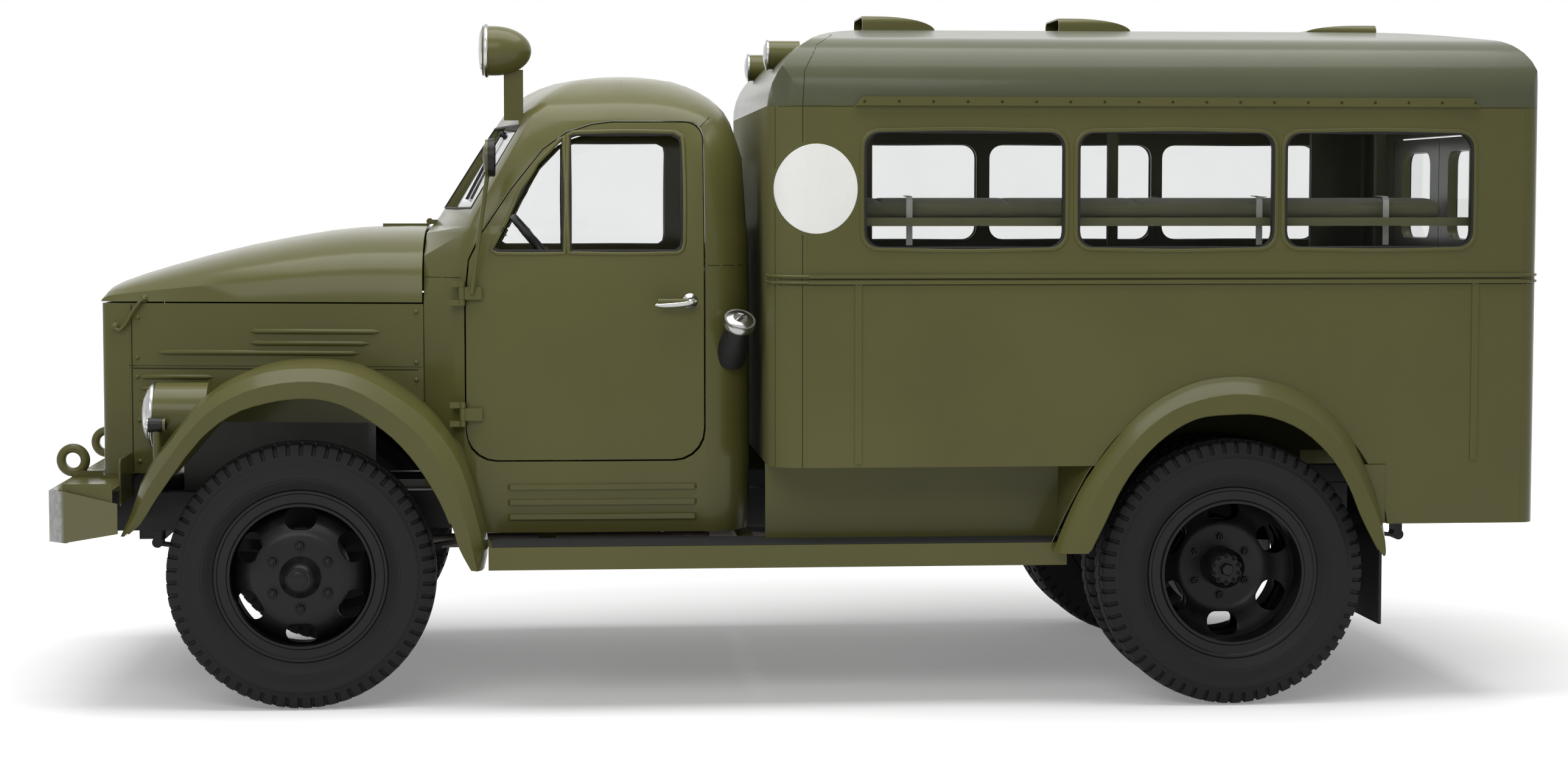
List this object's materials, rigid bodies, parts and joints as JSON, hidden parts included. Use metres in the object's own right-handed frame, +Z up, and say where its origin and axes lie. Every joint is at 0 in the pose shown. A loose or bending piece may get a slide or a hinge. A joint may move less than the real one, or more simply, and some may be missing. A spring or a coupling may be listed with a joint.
{
  "type": "military ambulance truck",
  "caption": "Bonneted military ambulance truck: steerable front wheels, twin rear wheels, opening cab doors, hood and rear doors, closed body with stretcher racks.",
  "frame": {"origin": "middle of the length and width, on the ground", "axes": "+X to the rear along the length, +Y to the right-hand side, +Z up"},
  "size_m": [5.34, 2.24, 2.4983],
  "materials": {
    "olive": "satin",
    "roof_olive": "satin",
    "inner_olive": "satin",
    "chassis_black": "satin",
    "engine_grey": "matte",
    "exhaust_steel": "matte",
    "bright_steel": "polished",
    "glass": "clear",
    "rubber": "matte",
    "tyre": "matte",
    "leather": "worn",
    "canvas": "woven",
    "black_plastic": "gloss",
    "rack_grey": "satin"
  },
  "bodies": {
    "chassis": {"frame": "chassis_black", "front_bumper": "olive", "tow_hooks": "olive", "front_axle": "chassis_black", "leaf_springs": "chassis_black", "rear_axle": "chassis_black", "engine": "engine_grey", "radiator": "chassis_black", "propeller_shaft": "chassis_black", "exhaust": "exhaust_steel", "grille": "olive", "hood_sides": "olive", "hood_hinge": "olive", "front_fenders": "olive", "headlamps": "olive", "lamp_lenses": "glass", "running_boards": "olive", "cab_shell": "olive", "cab_floor": "inner_olive", "cab_glass": "glass", "dashboard": "inner_olive", "bench_seat": "leather", "steering_wheel": "black_plastic", "searchlight": "olive", "fuel_filler": "bright_steel", "body_floor": "inner_olive", "body_sides": "olive", "body_front": "olive", "body_rear": "olive", "body_roof": "roof_olive", "body_glass": "glass", "rear_fenders": "olive", "body_skirts": "olive", "mud_flaps": "rubber", "roof_vents": "olive", "roof_lamps": "olive", "stretcher_racks": "rack_grey", "stretcher_pads": "canvas"},
    "hood": {"hood": "olive"},
    "door_left": {"door_left": "olive", "door_glass_left": "glass", "mirror_arm": "olive"},
    "door_right": {"door_right": "olive", "door_glass_right": "glass"},
    "rear_door_left": {"rear_door_left": "olive", "rear_door_glass_left": "glass"},
    "rear_door_right": {"rear_door_right": "olive", "rear_door_glass_right": "glass"},
    "knuckle_left": {"knuckle_left": "chassis_black"},
    "knuckle_right": {"knuckle_right": "chassis_black"},
    "front_wheel_left": {"front_disc_left": "chassis_black", "front_tyre_left": "tyre"},
    "front_wheel_right": {"front_disc_right": "chassis_black", "front_tyre_right": "tyre"},
    "rear_wheels_left": {"rear_discs_left": "chassis_black", "rear_tyres_left": "tyre"},
    "rear_wheels_right": {"rear_discs_right": "chassis_black", "rear_tyres_right": "tyre"}
  },
  "joints": [
    {"name": "steer_left", "type": "hinge", "parent": "chassis", "child": "knuckle_left", "pos_m": [-1.75, -0.7, 0.445], "axis": [0, 0, 1], "range_deg": [-30, 30]},
    {"name": "steer_right", "type": "hinge", "parent": "chassis", "child": "knuckle_right", "pos_m": [-1.75, 0.7, 0.445], "axis": [0, 0, 1], "range_deg": [-30, 30]},
    {"name": "front_spin_left", "type": "hinge", "parent": "knuckle_left", "child": "front_wheel_left", "pos_m": [-1.75, -0.792, 0.475], "axis": [0, 1, 0], "continuous": true},
    {"name": "front_spin_right", "type": "hinge", "parent": "knuckle_right", "child": "front_wheel_right", "pos_m": [-1.75, 0.792, 0.475], "axis": [0, 1, 0], "continuous": true},
    {"name": "rear_spin_left", "type": "hinge", "parent": "chassis", "child": "rear_wheels_left", "pos_m": [1.55, -0.825, 0.475], "axis": [0, 1, 0], "continuous": true},
    {"name": "rear_spin_right", "type": "hinge", "parent": "chassis", "child": "rear_wheels_right", "pos_m": [1.55, 0.825, 0.475], "axis": [0, 1, 0], "continuous": true},
    {"name": "door_swing_left", "type": "hinge", "parent": "chassis", "child": "door_left", "pos_m": [-1.18, -0.815, 1.255], "axis": [0, 0, -1], "range_deg": [0, 65]},
    {"name": "door_swing_right", "type": "hinge", "parent": "chassis", "child": "door_right", "pos_m": [-1.18, 0.815, 1.255], "axis": [0, 0, 1], "range_deg": [0, 65]},
    {"name": "rear_door_swing_left", "type": "hinge", "parent": "chassis", "child": "rear_door_left", "pos_m": [2.659, -0.607, 1.475], "axis": [0, 0, -1], "range_deg": [0, 110]},
    {"name": "rear_door_swing_right", "type": "hinge", "parent": "chassis", "child": "rear_door_right", "pos_m": [2.659, 0.607, 1.475], "axis": [0, 0, 1], "range_deg": [0, 110]},
    {"name": "hood_lift", "type": "hinge", "parent": "chassis", "child": "hood", "pos_m": [-1.324, 0, 1.72], "axis": [0, 1, 0], "range_deg": [0, 50]}
  ],
  "couplings": [
    {"joint": "steer_right", "follows": "steer_left", "ratio": 1}
  ]
}
